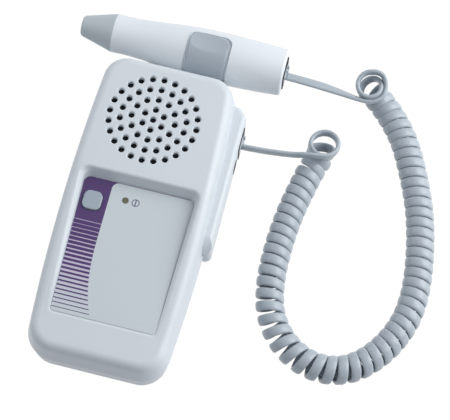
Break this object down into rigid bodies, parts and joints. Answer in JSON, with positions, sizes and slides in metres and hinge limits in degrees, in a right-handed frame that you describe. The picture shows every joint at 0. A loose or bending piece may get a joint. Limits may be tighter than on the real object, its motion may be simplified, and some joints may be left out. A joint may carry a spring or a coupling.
{
  "type": "handheld fetal doppler",
  "caption": "Handheld ultrasound monitor with a speaker grille and a front panel, a pencil-like probe lying in a cradle across its top end, and a curly cord joining the two.",
  "frame": {"origin": "centre of the flat back face that the case lies on", "axes": "+X to the jack side, +Y along the case towards the probe, +Z out of the front face"},
  "size_m": [0.1849, 0.1739, 0.034],
  "materials": {
    "case_white": "fine matt moulded plastic",
    "label_film": "satin printed film",
    "button_grey": "satin",
    "lamp_clear": "tinted, polished",
    "dark_plastic": "matt",
    "tip_grey": "satin",
    "pad_grey": "soft matt",
    "cord_grey": "satin",
    "plug_clear": "clear",
    "contact_metal": "plated",
    "screw_steel": "zinc plated",
    "board": "solder mask",
    "speaker_metal": "pressed",
    "speaker_paper": "pressed paper",
    "magnet": "ferrite",
    "cloth": "open weave",
    "battery_can": "printed jacket",
    "soft_liner": "soft matt",
    "ceramic": "silvered ceramic",
    "epoxy": "filled resin"
  },
  "bodies": {
    "case": {"front_shell": "case_white", "rear_shell": "case_white", "panel_label": "label_film", "power_switch": "dark_plastic", "lamp_window": "lamp_clear", "status_lamp": "lamp_clear", "volume_pot": "dark_plastic", "grille_cloth": "cloth", "speaker_frame": "speaker_metal", "speaker_cone": "speaker_paper", "speaker_magnet": "magnet", "main_board": "board", "board_chips": "dark_plastic", "board_screws": "screw_steel", "case_screws": "screw_steel", "battery": "battery_can", "battery_snap": "dark_plastic", "unit_jack": "dark_plastic", "unit_jack_contacts": "contact_metal", "phone_socket": "dark_plastic", "probe_cradle": "case_white", "cradle_liners": "soft_liner", "cradle_screws": "screw_steel", "unit_plug": "plug_clear", "cord_lead_unit": "cord_grey", "cord_lead_probe": "cord_grey", "cord_coil": "cord_grey"},
    "probe": {"probe_body": "case_white", "probe_tip": "tip_grey", "probe_grip_pad": "pad_grey", "crystal_send": "ceramic", "crystal_receive": "ceramic", "crystal_backing": "epoxy", "probe_board": "board", "probe_jack": "dark_plastic", "probe_jack_contacts": "contact_metal", "probe_plug": "plug_clear"},
    "button": {"power_button": "button_grey", "switch_plunger": "dark_plastic"},
    "door": {"battery_door": "case_white"},
    "wheel": {"volume_wheel": "button_grey"}
  },
  "joints": [
    {"name": "button_press", "type": "slide", "parent": "case", "child": "button", "axis": [0, 0, -1], "range_m": [0, 0.0005], "stiffness_N_per_m": 900, "springref_m": -0.0005},
    {"name": "door_slide", "type": "slide", "parent": "case", "child": "door", "axis": [0, -1, 0], "range_m": [0, 0.066]},
    {"name": "volume_turn", "type": "hinge", "parent": "case", "child": "wheel", "pos_m": [-0.0253, 0.022, 0.0089], "axis": [0, 0, 1], "range_deg": [-135, 135]},
    {"name": "probe_lift", "type": "slide", "parent": "case", "child": "probe", "axis": [0, 0, 1], "range_m": [0, 0.02], "deforming": ["cord_lead_probe"]}
  ]
}
